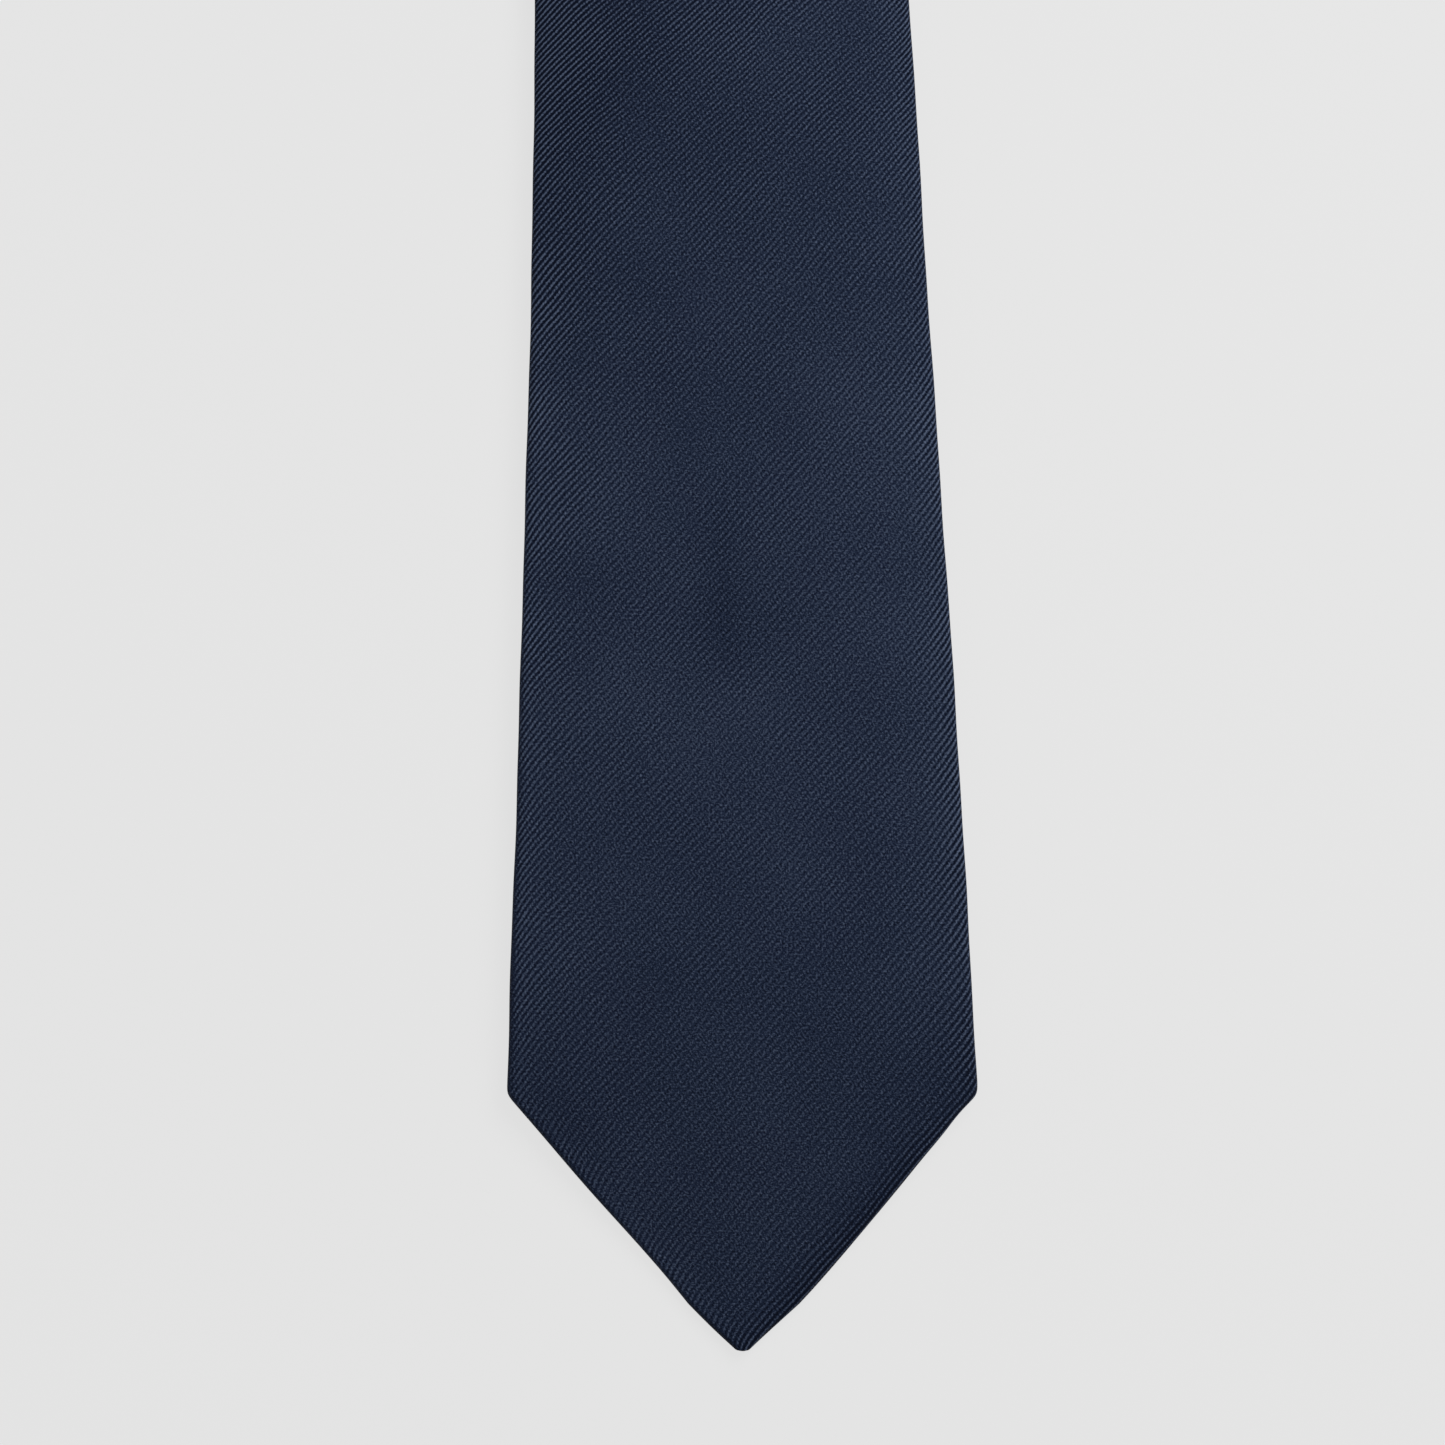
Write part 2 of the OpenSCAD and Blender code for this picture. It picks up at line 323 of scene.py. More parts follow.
def loft(name, stations, rings, cloth_u, material):
    """A closed solid from one ring of (x, n) at each s. A ring's second half runs back
    along its first, so opposite points close the two ends."""
    count = len(rings[0])
    last = len(stations) - 1
    points = np.concatenate([place(s, r[:, 0], r[:, 1]) for s, r in zip(stations, rings)])
    sides = np.concatenate([np.stack([half_width(s) + r[:, 0], half_width(s) - r[:, 0],
                                      piecing_gap(s, u)], -1)
                            for s, r, u in zip(stations, rings, cloth_u)])
    cloth = np.concatenate([np.stack([u, np.full(count, s)], -1)
                            for s, u in zip(stations, cloth_u)])
    faces = []
    for i in range(last):
        a, b = i * count, (i + 1) * count
        for j in range(count):
            k = (j + 1) % count
            faces.append((a + k, b + k, b + j, a + j))
    for j in range(count // 2 - 1):
        cap = (j, j + 1, count - 2 - j, count - 1 - j)
        faces.append(cap[::-1])
        faces.append(tuple(last * count + c for c in cap))
    return new_object(name, points, faces, cloth, material, sides)


def sheet_size(rings, stations):
    """Width, length and area of the flat cut that a lofted sheet is made from."""
    wide = np.array([np.linalg.norm(np.diff(r[:len(r) // 2], axis=0), axis=1).sum()
                     for r in rings])
    area = float(((wide[1:] + wide[:-1]) / 2 * np.diff(stations)).sum())
    return (max(wide), stations[-1] - stations[0]), area


def shell(name, stations):
    """One stretch of the twill envelope, open along the back seam."""
    rings, us = [], []
    for s in stations:
        outer = shell_outline(s)
        u = np.concatenate([[0], np.cumsum(np.linalg.norm(np.diff(outer, axis=0), axis=1))])
        u -= u[-1] / 2
        rings.append(np.concatenate([outer, inward(outer, SHELL_T)[::-1]]))
        us.append(np.concatenate([u, u[::-1]]))
    return loft(name, stations, rings, us, TWILL), *sheet_size(rings, stations)


def slab(name, stations, n_low, n_high, inset, material, bulge=0.0):
    """A flat inner layer that ends inset from the band's sides, with soft edges."""
    rings, us = [], []
    across = np.linspace(-1, 1, 25)
    for s in stations:
        h = max(float(half_width(s)) - inset, 0.3 * MM)
        x = h * np.sin(across * math.pi / 2)
        soft = np.sqrt(np.clip(1 - np.abs(x / h) ** (h / MM), 0.02, 1))
        mid, half = (n_low + n_high) / 2, (n_high - n_low) / 2
        ripple = bulge * np.sin(s / (7 * MM)) * np.cos(x / (5 * MM)) * (1 - (x / h) ** 2)
        upper = np.stack([x, mid + half * soft + ripple], -1)
        lower = np.stack([x, mid - half * soft + ripple], -1)
        rings.append(np.concatenate([upper, lower[::-1]]))
        us.append(np.concatenate([x, x[::-1]]))
    return loft(name, stations, rings, us, material), *sheet_size(rings, stations)


def spaced(*spans):
    """Stations over spans of (start, end, step), without repeats. They lie closest at the
    tips, at the corners above them and, on the front, at the turn-back line."""
    parts = [np.linspace(a, b, max(2, round((b - a) / step) + 1)) for a, b, step in spans]
    return np.unique(np.round(np.concatenate(parts), 8))


FRONT_S = spaced((0, 1 * MM, 0.1 * MM), (1 * MM, 4 * MM, 0.5 * MM), (4 * MM, 32 * MM, 2 * MM),
                 (32 * MM, 40 * MM, 1 * MM), (40 * MM, 48 * MM, 0.5 * MM),
                 (48 * MM, 94 * MM, 2 * MM), (94 * MM, 106 * MM, 0.75 * MM),
                 (106 * MM, 260 * MM, 3 * MM),
                 (260 * MM, S_FOLD - RISE_LEN, 6 * MM), (S_FOLD - RISE_LEN, S_FOLD, 2 * MM))
ROLL_S = np.linspace(S_FOLD, S_BACK, 37)
TAIL_S = spaced((S_BACK, S_BACK + 6 * MM, 1 * MM), (S_BACK + 6 * MM, S_END - 80 * MM, 6 * MM),
                (S_END - 80 * MM, S_END - 34 * MM, 2 * MM),
                (S_END - 34 * MM, S_END - 18 * MM, 0.5 * MM),
                (S_END - 18 * MM, S_END - 4 * MM, 1.5 * MM), (S_END - 4 * MM, S_END, 0.25 * MM))


def tube(path, radius, sides=6):
    """Points and quads of a thread along a path, closed at both ends by small caps."""
    path = np.asarray(path, float)
    along = np.gradient(path, axis=0)
    along /= np.linalg.norm(along, axis=1, keepdims=True)
    lift = np.array([0.0, 0.0, 1.0])
    side = np.cross(along, lift)
    side /= np.maximum(np.linalg.norm(side, axis=1, keepdims=True), 1e-9)
    up = np.cross(side, along)
    taper = np.ones(len(path))
    taper[[0, -1]] = 0.45
    ring = 2 * math.pi * np.arange(sides) / sides
    round_x, round_y = np.cos(ring)[:, None], np.sin(ring)[:, None]
    points = np.concatenate([p + radius * k * (round_x * a + round_y * b)
                             for p, k, a, b in zip(path, taper, side, up)])
    faces = []
    for i in range(len(path) - 1):
        for j in range(sides):
            k = (j + 1) % sides
            faces.append((i * sides + j, (i + 1) * sides + j, (i + 1) * sides + k, i * sides + k))
    faces.append(tuple(range(sides)))
    faces.append(tuple((len(path) - 1) * sides + j for j in range(sides))[::-1])
    return points, faces


def threads(name, paths, radius, material):
    """Many short threads as one object, each at its own place in the noise."""
    points, faces, cloth, start = [], [], [], 0
    for path in paths:
        p, f = tube(path, radius)
        points.append(p)
        faces += [tuple(i + start for i in face) for face in f]
        run = np.repeat(np.linspace(0, np.ptp(path, axis=0).max(), len(path)), len(p) // len(path))
        cloth.append(np.stack([run, np.full(len(p), start * 1e-6)], -1))
        start += len(p)
    return new_object(name, np.concatenate(points), faces, np.concatenate(cloth), material)


# ---- materials -------------------------------------------------------------------------
class Field:
    """A value inside a shader. Arithmetic on it builds the Math nodes."""

    def __init__(self, shader, socket):
        self.shader, self.socket = shader, socket

    def math(self, operation, other=0.0, clamp=False):
        made = self.shader.node("ShaderNodeMath", operation=operation, use_clamp=clamp)
        self.shader.plug(self, made.inputs[0])
        self.shader.plug(other, made.inputs[1])
        return Field(self.shader, made.outputs[0])

    def __add__(self, other):
        return self.math("ADD", other)

    def __sub__(self, other):
        return self.math("SUBTRACT", other)

    def __rsub__(self, number):
        return self * -1 + number

    def __mul__(self, other):
        return self.math("MULTIPLY", other)

    def __truediv__(self, number):
        return self * (1 / number)

    def size(self):
        """The same value without its sign."""
        return self.math("ABSOLUTE")

    def held(self):
        """The same value, kept from 0 to 1."""
        return self.math("ADD", 0.0, clamp=True)

    def fade(self, reach):
        """1 where the value is 0, dying away over reach."""
        return (self / -reach).math("EXPONENT")

    def wave(self):
        """From 0 to 1 and back, once for each whole number of the value."""
        return (self * (2 * math.pi)).math("COSINE") * 0.5 + 0.5


class Shader:
    """A small hand for building one node material."""

    def __init__(self, name, **sockets):
        self.material = bpy.data.materials.new(name)
        self.material.use_nodes = True
        self.tree = self.material.node_tree
        self.surface = self.tree.nodes["Principled BSDF"]
        for socket, value in sockets.items():
            self.surface.inputs[socket.replace("_", " ")].default_value = value

    def node(self, kind, **settings):
        made = self.tree.nodes.new(kind)
        for key, value in settings.items():
            setattr(made, key, value)
        return made

    def plug(self, source, target):
        if isinstance(source, Field):
            self.tree.links.new(source.socket, target)
        else:
            target.default_value = source

    def attribute(self, name):
        return Field(self, self.node("ShaderNodeAttribute", attribute_name=name).outputs["Vector"])

    def parts(self, vector):
        made = self.node("ShaderNodeSeparateXYZ")
        self.plug(vector, made.inputs[0])
        return [Field(self, socket) for socket in made.outputs]

    def noise(self, vector, scale, detail=2.0, rough=0.5):
        made = self.node("ShaderNodeTexNoise")
        self.plug(vector, made.inputs["Vector"])
        made.inputs["Scale"].default_value = scale
        made.inputs["Detail"].default_value = detail
        made.inputs["Roughness"].default_value = rough
        return Field(self, made.outputs["Fac"])

    def stretched(self, vector, scale):
        made = self.node("ShaderNodeMapping")
        self.plug(vector, made.inputs["Vector"])
        made.inputs["Scale"].default_value = scale
        return Field(self, made.outputs["Vector"])

    def specks(self, vector, scale, size, share):
        """1 in a small round spot of some of the cells that scale gives, 0 elsewhere."""
        cell = self.node("ShaderNodeTexVoronoi", feature="F1")
        self.plug(vector, cell.inputs["Vector"])
        cell.inputs["Scale"].default_value = scale
        near = Field(self, cell.outputs["Distance"]).math("LESS_THAN", size)
        pick = self.parts(Field(self, cell.outputs["Color"]))[0]
        return near * pick.math("GREATER_THAN", 1 - share)

    def ramp(self, value, stops):
        made = self.node("ShaderNodeValToRGB")
        elements = made.color_ramp.elements
        for element, (at, colour) in zip(elements, stops):
            element.position, element.color = at, (*colour, 1)
        for at, colour in stops[2:]:
            elements.new(at).color = (*colour, 1)
        self.plug(value, made.inputs[0])
        return Field(self, made.outputs["Color"])

    def over(self, share, under, colour):
        """The colour laid over what is under it, as far as share says."""
        made = self.node("ShaderNodeMix", data_type="RGBA")
        self.plug(share, made.inputs["Factor"])
        self.plug(under, made.inputs["A"])
        self.plug((*colour, 1), made.inputs["B"])
        return Field(self, made.outputs["Result"])

    def finish(self, colour, height, depth, strength=1.0, rough=None):
        """Colour, bump and, where it varies, roughness go to the surface."""
        self.plug(colour, self.surface.inputs["Base Color"])
        if rough is not None:
            self.plug(rough, self.surface.inputs["Roughness"])
        made = self.node("ShaderNodeBump")
        made.inputs["Distance"].default_value = depth
        made.inputs["Strength"].default_value = strength
        self.plug(height, made.inputs["Height"])
        self.tree.links.new(made.outputs["Normal"], self.surface.inputs["Normal"])
        return self.material


def twill_material():
    """Navy silk twill: diagonal ribs, darker between them, crossed by finer weft threads,
    with a low satin sheen. The ribs stand out most along the sides, partly in bump and partly
    as painted light, a stronger light-dark rib colour where light would catch them; they are
    beaded and softer towards the middle, and lie close, with painted shade, along the point's
    right side. The cloth is lighter 125 mm up, with painted shade in a short band down the
    middle and towards the left from 160 mm up, and a painted highlight along the right side.
    Lengths are in millimetres of cloth."""
    m = Shader("navy_twill", Specular_IOR_Level=0.07, Sheen_Weight=0.03, Sheen_Roughness=0.45,
               Sheen_Tint=(0.45, 0.55, 0.85, 1))
    cloth = m.attribute("cloth")
    across, along, _ = m.parts(cloth)
    rib_at, weft_at, _ = m.parts(m.attribute("weave"))
    left, right, piecing = m.parts(m.attribute("sides"))
    near_left, near_right = left.fade(6.5), right.fade(3.2)
    up_blade = ((along - 20) / 200).held()
    high_up = ((along - 180) / 50).held() * (right / 28).held()
    at_point = ((along - 60) / -30).held()

    # how far the ribs stand out, in bump and in colour; the rise along the sides is partly painted
    # light, a stronger light-dark rib colour where light would catch them
    left_crisp = near_left * (up_blade + 0.3)
    right_crisp = near_right * ((1 - up_blade) * 0.5 + 0.85)
    crisp = left_crisp + right_crisp + up_blade * 0.18 + high_up * 0.38 + 0.24
    crisp = crisp * (left / 0.8).held()
    crisp = crisp * ((m.noise(cloth, 0.055) - 0.5) * 1.8 + 1)

    # the ribs and the weft beads on them, both a little out of true
    drift = (m.noise(cloth, 0.06, 1) - 0.5) * 1.6
    jitter = (m.noise(cloth, 1.1) - 0.5) * 0.16
    rib_pos = rib_at + drift + jitter
    bead = (weft_at + rib_pos * 0.42 + jitter).wave()
    knots = (near_left + near_right) * -0.18 + 0.26
    cord = (rib_pos.wave() * ((bead - 1) * knots + 1) - 0.43) * crisp + (bead - 0.5) * 0.10
    grain = (m.noise(cloth, 2.8, rough=0.7) - 0.5) * 2.2
    fibre = (m.noise(cloth, 5.0, rough=0.7) - 0.5) * 0.5
    groove = ((piecing.size() / 0.45).held() - 1) * 0.8
    height = cord + grain + fibre + groove

    # light ribs over dark gaps, painted shade at the very edges, with a few specks of lint
    patch = (m.noise(cloth, 0.035) - 0.5) * 0.17
    tone = (height * 0.80 + 0.40 + patch).held()
    # painted shade: darker within about a millimetre of either side, where the edge rolls under
    painted_edge_shade = left.math("MINIMUM", right * 0.75).fade(0.6)
    # painted shade: darker towards the left side from 160 mm up, away from the light
    painted_left_shade = left.fade(25) * ((along - 160) / 50).held()
    # painted shade: a short darker band down the middle, about 130 mm up
    painted_middle_band_shade = (across + 2).size().fade(6) * (1.4 - (along - 131).size() * 0.07).held()
    mid_blade = (1.5 - (along - 125).size() * 0.025).held()
    # lighter about 125 mm up, plus a painted highlight along the right side up the blade
    lighter_mid_and_painted_highlight = mid_blade * 0.035 + right.fade(8) * up_blade * 0.055
    # all painted shade, less where the painted highlight lifts it: the edges, up the left side,
    # along the point's right side, the left from 160 mm up and the middle band
    shade = (painted_edge_shade * 0.16 + near_left * up_blade * 0.07 + near_right * at_point * 0.32
             + painted_left_shade * 0.12 + painted_middle_band_shade * 0.09 - lighter_mid_and_painted_highlight)
    colour = m.ramp((tone - shade).held(), [
        (0.0, (0.0006, 0.0022, 0.0100)), (1.0, (0.085, 0.112, 0.175)),
        (0.40, (0.0085, 0.0155, 0.0380))])
    lint = m.specks(cloth, 0.045, size=0.008, share=0.45)
    return m.finish(m.over(lint, colour, (0.35, 0.38, 0.42)), height, 0.16 * MM, 0.9,
                    rough=0.60 - height * 0.14)


def woven_material(name, dark, light, count, depth, slub=0.0, **sockets):
    """Plain weave: two crossing thread systems, count threads to the millimetre, with
    slubs where a thread thickens and a faint ripple in the cloth."""
    m = Shader(name, **sockets)
    cloth = m.attribute("cloth")
    u, v, _ = m.parts(cloth)
    stray = m.noise(cloth, 0.9) * 0.4
    crossing = (u * count + stray).wave() + (v * count + stray).wave()
    thick = m.noise(m.stretched(cloth, (1.9, 0.16, 1.0)), 1.0) - 0.5
    ripple = m.noise(cloth, 0.11, 1)
    height = crossing * 0.36 + m.noise(cloth, 4.0, 3) * 0.28 + thick * slub
    colour = m.ramp(height + (ripple - 0.5) * 0.5, [(0.15, dark), (0.95, light)])
    return m.finish(colour, height + ripple * 2.5, depth,
                    rough=sockets["Roughness"] + 0.1 - height * 0.15)


def canvas_material():
    """Brushed wool canvas: off-white, with a felted nap."""
    m = Shader("wool_canvas", Roughness=0.95, Sheen_Weight=0.35, Sheen_Roughness=0.6)
    cloth = m.attribute("cloth")
    nap = m.noise(cloth, 1.4, 6, 0.75)
    height = nap + (m.parts(cloth)[0] * 0.9).wave() * 0.3
    colour = m.ramp(height, [(0.3, (0.52, 0.48, 0.40)), (0.95, (0.84, 0.81, 0.73))])
    return m.finish(colour, height, 0.15 * MM)


def thread_material(name, dark, light):
    """Twisted silk thread: fine bands that wind along it."""
    m = Shader(name, Roughness=0.45, Specular_IOR_Level=0.4)
    cloth = m.attribute("cloth")
    ply = (m.parts(cloth)[0] * 2.6).wave()
    height = ply * 0.7 + m.noise(cloth, 5.0, 3) * 0.3
    return m.finish(m.ramp(height, [(0.1, dark), (0.9, light)]), height, 0.05 * MM)


TWILL = twill_material()
LINING = woven_material("navy_lining", (0.002, 0.005, 0.016), (0.030, 0.044, 0.088), 1.6,
                        0.07 * MM, slub=1.3, Roughness=0.45, Specular_IOR_Level=0.22)
CANVAS = canvas_material()
THREAD = thread_material("navy_thread", (0.010, 0.016, 0.036), (0.055, 0.075, 0.130))
WHITE_THREAD = thread_material("white_thread", (0.50, 0.50, 0.48), (0.80, 0.80, 0.77))
TAPE = woven_material("white_tape", (0.55, 0.55, 0.52), (0.86, 0.86, 0.83), 2.2,
                      0.05 * MM, Roughness=0.7, Specular_IOR_Level=0.3)

# ---- pieces ----------------------------------------------------------------------------
TURN_FROM = (0, TIP_Y + S_TURN + TURN_HALF, 0)
TURN_TO = (0, TIP_Y + S_TURN - TURN_HALF, 0)
ROLL_FROM = (0, FOLD_Y, 2 * ROLL_OUT - BAND_T)
INNER_LOW = SHELL_T + TIPPING_T + 2 * LAYER_GAP
INNER_HIGH = BAND_T - SHELL_T - CROWN_DROP - 2 * LAYER_GAP


def bends_at_turn(obj):
    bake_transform(obj)


def bends_at_neck(obj):
    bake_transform(obj)


def make_shells():
    """The twill envelope: front leg, roll and tail leg."""
    front, flat, area = shell("front_shell", FRONT_S)
    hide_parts("blade_point_shell", "blade_turn_shell", "blade_shell", "neck_shell_front")
    bends_at_turn(front)
    roll, flat, area = shell("neck_roll_shell", ROLL_S)
    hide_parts("neck_turn_shell")
    bends_at_neck(roll)
    tail, flat, area = shell("tail_leg_shell", TAIL_S)
    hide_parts("neck_shell_rear", "tail_shell")
    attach(tail, "tail")


def make_inner_layers():
    """Wool canvas through the whole band, and the tipping behind each point."""
    inset, tip_inset, tipping_inset = 2.0 * MM, 3 * MM, 1.8 * MM
    tail_tipping_len = 62 * MM
    spans = [("front_canvas", "front_shell", FRONT_S[FRONT_S > tip_inset],
              ["blade_point_interlining", "blade_turn_interlining", "blade_interlining",
               "neck_interlining_front"], bends_at_turn),
             ("neck_roll_canvas", "neck_roll_shell", ROLL_S[::2],
              ["neck_turn_interlining"], bends_at_neck),
             ("tail_leg_canvas", "tail_leg_shell", TAIL_S[TAIL_S < S_END - tip_inset],
              ["neck_interlining_rear", "tail_interlining"], lambda obj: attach(obj, "tail"))]
    for name, under, stations, nodes, follow in spans:
        obj, flat, area = slab(name, stations, INNER_LOW, INNER_HIGH, inset, CANVAS)
        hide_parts(*nodes)
        follow(obj)
    tipping_low = SHELL_T + LAYER_GAP
    tips = [("front_tipping", "front_shell",
             FRONT_S[(FRONT_S > tip_inset) & (FRONT_S < S_TURN - TURN_HALF)],
             "blade_tipping", "blade_point"),
            ("tail_leg_tipping", "tail_leg_canvas",
             TAIL_S[(TAIL_S < S_END - tip_inset) & (TAIL_S > S_END - tail_tipping_len)],
             "tail_tipping", "tail")]
    for name, under, stations, node, body in tips:
        obj, flat, area = slab(name, stations, tipping_low, tipping_low + TIPPING_T,
                               tipping_inset, LINING, bulge=0.02 * MM)
        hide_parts(node)
        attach(obj, body)


SLIP_PITCH, WRAP_PITCH, HEM_PITCH = 7 * MM, 0.42 * MM, 2.4 * MM
SLIP_R, TACK_R, HEM_R = 0.15 * MM, 0.14 * MM, 0.09 * MM      # thread radii
KEEPER_SEWN_R, LABEL_SEWN_R = 0.12 * MM, 0.1 * MM
SEWN_CLEAR = 2 * MM          # no slip stitch this near the keeper or the label
TACK_UP = 2.1 * MM           # from the head of the open V to the bar tack


def stitch_paths(start, end):
    """Slanting slip stitches that cross the back seam, but not under keeper and label."""
    paths = []
    for s in np.arange(start, end, SLIP_PITCH):
        if KEEPER_LOW[1] - SEWN_CLEAR < TIP_Y + s < LABEL_HIGH[1] + SEWN_CLEAR:
            continue
        t = np.linspace(-1, 1, 7)
        x = 1.5 * MM * t
        n = 0.02 * MM - 0.14 * MM * (1 - t ** 4)
        paths.append(place(s + 1.1 * MM * t, x, n))
    return paths


def tack_paths(s, half):
    """A bar tack: core threads across the seam, with others wrapped round them."""
    t = np.linspace(-1, 1, 9)
    rows = np.linspace(-0.5, 0.5, 5) * MM
    long_way = [place(s + row, half * t, 0.04 * MM - 0.2 * MM * (1 - t ** 6)) for row in rows]
    wraps = [place(s + 0.75 * MM * t, np.full(9, x), 0.06 * MM - 0.30 * MM * (1 - t ** 4))
             for x in np.arange(-half * 0.8, half * 0.81, WRAP_PITCH)]
    return long_way + wraps


def hem_paths(front):
    """Small stitches that hold the tipping to the hem along both sides of a point."""
    point, reach = (BLADE_POINT, 20 * MM) if front else (TAIL_POINT, 8 * MM)
    paths = []
    for d in np.arange(14 * MM, point + reach, HEM_PITCH):
        s = d if front else S_END - d
        edge = back_edge(s)
        if edge <= SEAM_GAP:
            continue
        for way in (-1, 1):
            t = np.linspace(-1, 1, 5)
            x = way * (edge + 0.55 * MM * t)
            n = 0.02 * MM + 0.30 * MM * smooth(-t) - 0.06 * MM * (1 - t ** 2)
            paths.append(place(s + 0.2 * MM * t, x, n))
    return paths


def make_sewing():
    """Slip stitch along the seam, bar tacks at its ends, hem stitches behind the points.
    The slip stitch keeps clear of both bends and of the tail's bar tack."""
    tack_a = BLADE_POINT + SEAM_RISE + TACK_UP
    tack_b = S_END - TAIL_POINT - SEAM_RISE * TAIL_W / BLADE_W - TACK_UP
    front = threads("front_slip_stitches", stitch_paths(S_TURN + 8 * MM, S_FOLD - 45 * MM),
                    SLIP_R, THREAD)
    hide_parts("front_slip_stitch")
    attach(front, "front_blade")
    rear = threads("rear_slip_stitches", stitch_paths(S_BACK + 12 * MM, tack_b - 4 * MM),
                   SLIP_R, THREAD)
    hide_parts("rear_slip_stitch")
    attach(rear, "tail")
    for name, s, half, node, body in (
            ("front_bar_tack", tack_a, 3.5 * MM, "blade_bar_tack", "blade_point"),
            ("tail_leg_bar_tack", tack_b, 3.0 * MM, "tail_bar_tack", "tail")):
        tack = threads(name, tack_paths(s, half), TACK_R, THREAD)
        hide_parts(node)
        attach(tack, body)
    for name, is_front, body in (("front_hem_stitches", True, "blade_point"),
                                 ("tail_hem_stitches", False, "tail")):
        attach(threads(name, hem_paths(is_front), HEM_R, THREAD), body)


def strap(name, low, high, sag, thick, material, columns=33, rows=9):
    """A small cloth piece on the blade's back: low and high corners, sag as a function."""
    s = np.linspace(low[1] - TIP_Y, high[1] - TIP_Y, rows)
    edge = 0.15 * MM
    s = np.sort(np.append(s, [s[0] + edge, s[-1] - edge]))
    centre = (low[0] + high[0]) / 2
    half = (high[0] - low[0]) / 2
    x = half * np.sin(np.linspace(-1, 1, columns) * math.pi / 2)
    rings, us = [], []
    for si in s:
        middle = sag(x / half) - thick / 2
        soft = thick / 2 * np.sqrt(np.clip(1 - np.abs(x / half) ** 60, 0.1, 1))
        soft *= 0.6 if si in (s[0], s[-1]) else 1
        offset = centre - bow(TIP_Y + si)
        rings.append(np.concatenate([np.stack([x + offset, middle + soft], -1),
                                     np.stack([x + offset, middle - soft], -1)[::-1]]))
        us.append(np.concatenate([x, x[::-1]]))
    obj = loft(name, s, rings, us, material)
    return obj, (2 * half, s[-1] - s[0])


def make_keeper():
    """The keeper loop of the same twill, its end stitches, and the blank care label."""
    def bridge(t):
        return -0.05 * MM - 0.34 * MM * (1 - np.abs(t) ** 5)
    keeper, flat = strap("keeper_band", KEEPER_LOW, KEEPER_HIGH, bridge, 0.3 * MM, TWILL)
    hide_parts("keeper_loop")
    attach(keeper, "front_blade")
    ends = []
    width = KEEPER_HIGH[0] - KEEPER_LOW[0]
    centre = (KEEPER_HIGH[0] + KEEPER_LOW[0]) / 2
    for way in (-1, 1):
        x = centre + way * (width / 2 - 1.4 * MM)
        for y in np.arange(KEEPER_LOW[1] + 1.2 * MM, KEEPER_HIGH[1] - 1.5 * MM, 2.0 * MM):
            t = np.linspace(0, 1, 6)
            n = -0.36 * MM - 0.08 * MM * np.sin(math.pi * t)
            ends.append(place(y - TIP_Y + 1.5 * MM * t, x - bow(y), n))
    sewn = threads("keeper_stitches", ends, KEEPER_SEWN_R, THREAD)
    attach(sewn, "front_blade")
    label, flat = strap("blank_label", LABEL_LOW, LABEL_HIGH,
                        lambda t: -0.04 * MM - 0.03 * MM * np.cos(3 * t), 0.16 * MM, TAPE)
    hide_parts("care_label")
    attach(label, "front_blade")
    rows = []
    for x in np.arange(LABEL_LOW[0] + 0.9 * MM, LABEL_HIGH[0] - 1.6 * MM, 2.1 * MM):
        t = np.linspace(0, 1, 6)
        y = LABEL_LOW[1] + 1.2 * MM
        n = -0.22 * MM - 0.06 * MM * np.sin(math.pi * t)
        rows.append(place(y - TIP_Y, x - bow(y) + 1.4 * MM * t, n))
    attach(threads("label_stitches", rows, LABEL_SEWN_R, WHITE_THREAD), "front_blade")


# ---- floor, light and camera -----------------------------------------------------------
FRAME_W = 245.6 * MM                            # width of the picture, at the blade's front
FRAME_MID_X, FRAME_MID_UP = -3.49 * MM, 107.1 * MM   # its middle, measured from the tip
CAMERA_UP, SENSOR_W = 1.6, 36                   # metres over the blade; millimetres
FLOOR_R, SWEEP_R, SWEEP_UP = 11.0, 17.0, 1.7    # flat floor, then its sweep's end and rise
FLOOR_TURNS, FLOOR_RINGS = 96, 17
FLOOR_DOWN = -0.02 * MM
FLOOR_GREY, FLOOR_GLOW, SKY_GLOW = 0.06, 0.722, 0.34
LAMP_POWER, LAMP_SIZE = 6.3, 0.5
LAMP_TOWARDS = Vector((0.35, 0.42, 0.62))       # from where it points: up and to the right
LAMP_AIM_UP = 0.11                              # the height on the blade where it points


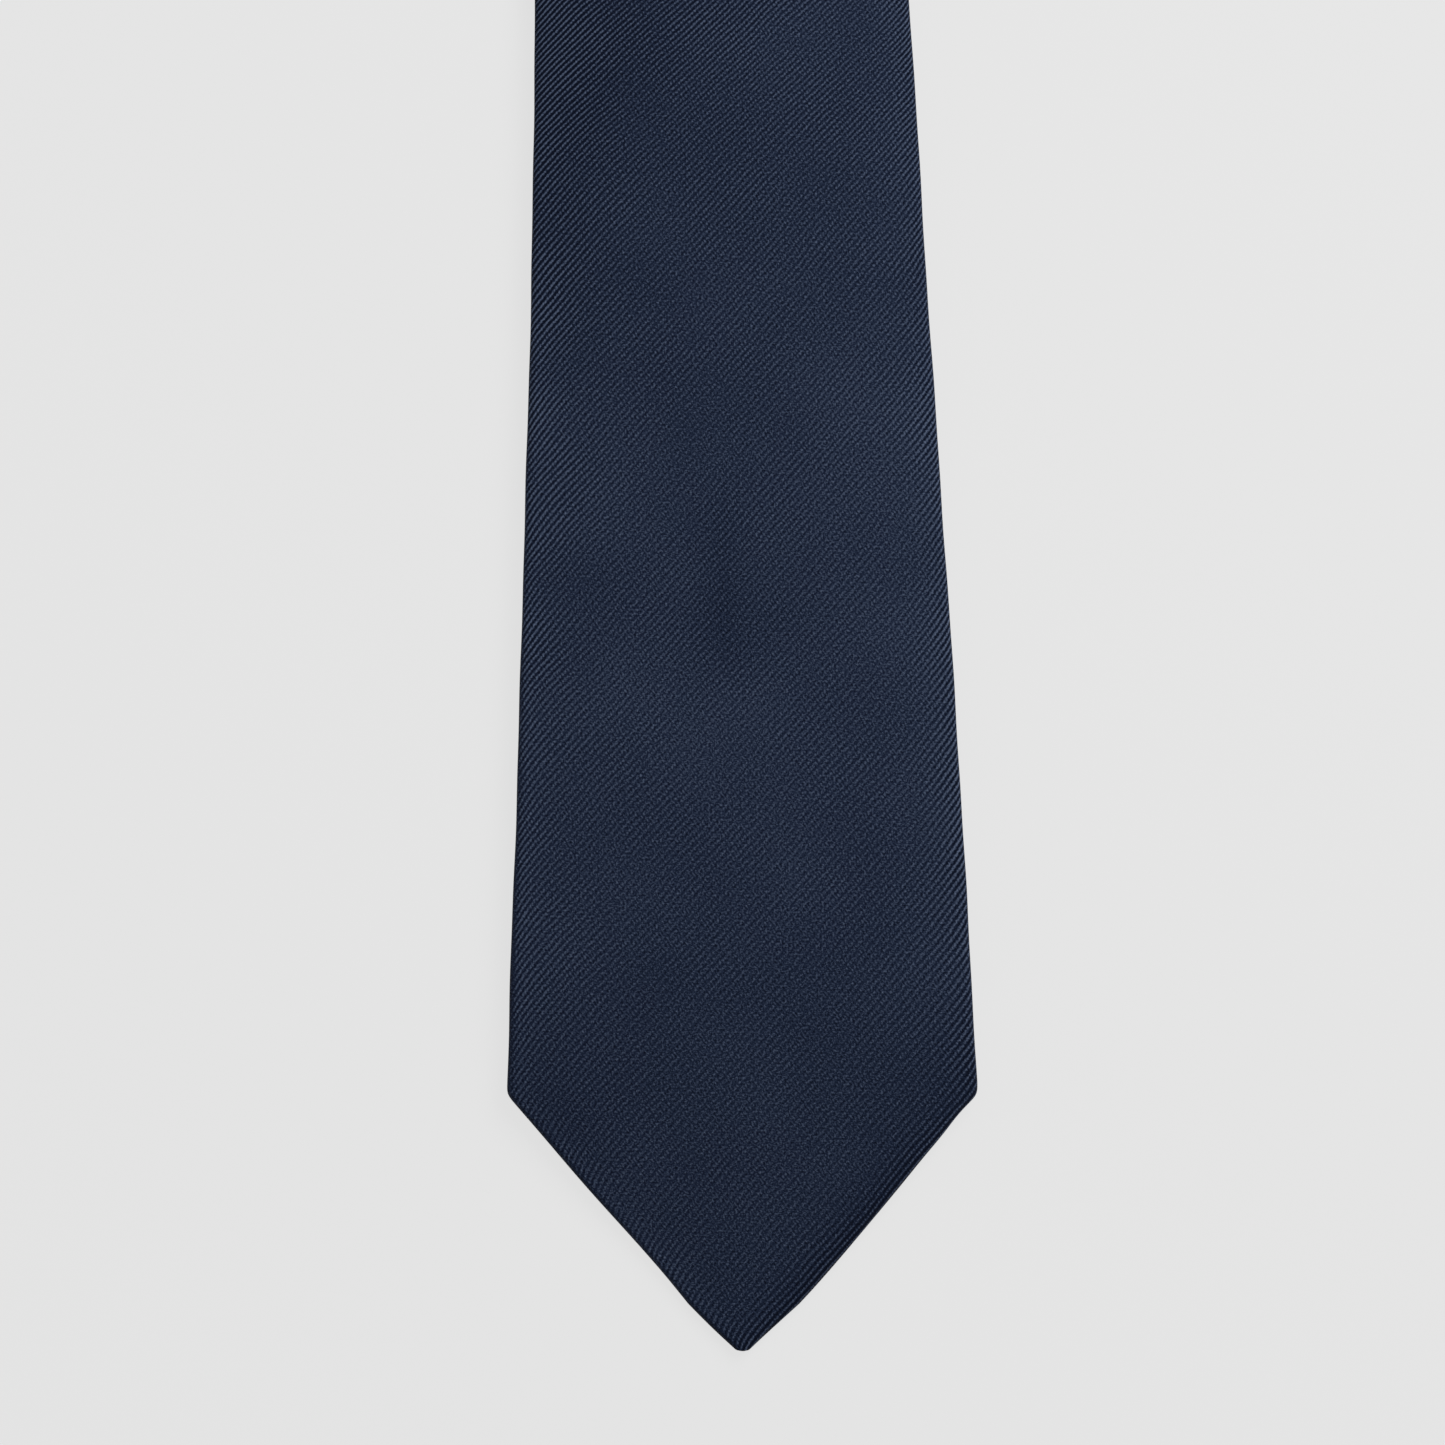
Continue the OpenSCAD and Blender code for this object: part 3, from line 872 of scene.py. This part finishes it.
def make_stage():
    """A pale floor that glows a little, so that shadows on it stay faint. Far out it sweeps
    up all round, as a studio backdrop does."""
    mesh = bpy.data.meshes.new("floor")
    turns = FLOOR_TURNS
    corners, faces = [], [tuple(range(turns))]
    for t in np.linspace(0, 1, FLOOR_RINGS):
        radius, up = FLOOR_R + (SWEEP_R - FLOOR_R) * t, SWEEP_UP * t * t
        corners += [(radius * math.cos(a), radius * math.sin(a), up)
                    for a in np.arange(turns) * 2 * math.pi / turns]
    for ring in range(FLOOR_RINGS - 1):
        for i in range(turns):
            a, b = ring * turns + i, ring * turns + (i + 1) % turns
            faces.append((a, a + turns, b + turns, b))
    mesh.from_pydata(corners, [], faces)
    mesh.polygons.foreach_set("use_smooth", [True] * len(mesh.polygons))
    floor = bpy.data.objects.new("floor", mesh)
    floor.location.z = FLOOR_DOWN
    bpy.context.scene.collection.objects.link(floor)
    m = Shader("pale_floor", Roughness=0.9, Specular_IOR_Level=0.1)
    m.surface.inputs["Base Color"].default_value = (FLOOR_GREY, FLOOR_GREY, FLOOR_GREY, 1)
    m.surface.inputs["Emission Color"].default_value = (1, 1, 1, 1)
    m.surface.inputs["Emission Strength"].default_value = FLOOR_GLOW
    mesh.materials.append(m.material)
    world = bpy.data.worlds.new("studio")
    world.use_nodes = True
    world.node_tree.nodes["Background"].inputs[0].default_value = (1, 1, 1, 1)
    world.node_tree.nodes["Background"].inputs[1].default_value = SKY_GLOW
    bpy.context.scene.world = world
    lamp = bpy.data.lights.new("soft_key", "AREA")
    lamp.energy, lamp.size = LAMP_POWER, LAMP_SIZE
    key = bpy.data.objects.new("soft_key", lamp)
    key.location = Vector((0, TIP_Y + LAMP_AIM_UP, 0)) + LAMP_TOWARDS
    key.rotation_euler = LAMP_TOWARDS.to_track_quat("Z", "Y").to_euler()
    key.visible_camera = False
    bpy.context.scene.collection.objects.link(key)
    bpy.context.scene.view_settings.view_transform = "Standard"


def make_camera():
    """Straight down on the lower part of the front blade, its tip near the picture's foot."""
    lens = bpy.data.cameras.new("camera")
    lens.sensor_width = SENSOR_W
    lens.lens = SENSOR_W * CAMERA_UP / FRAME_W
    camera = bpy.data.objects.new("camera", lens)
    camera.location = (FRAME_MID_X, TIP_Y + FRAME_MID_UP, CAMERA_UP + LIFT + BAND_T)
    bpy.context.scene.collection.objects.link(camera)
    bpy.context.scene.camera = camera


make_camera()
make_stage()
make_shells()
make_inner_layers()
make_sewing()
make_keeper()

bpy.context.view_layer.update()
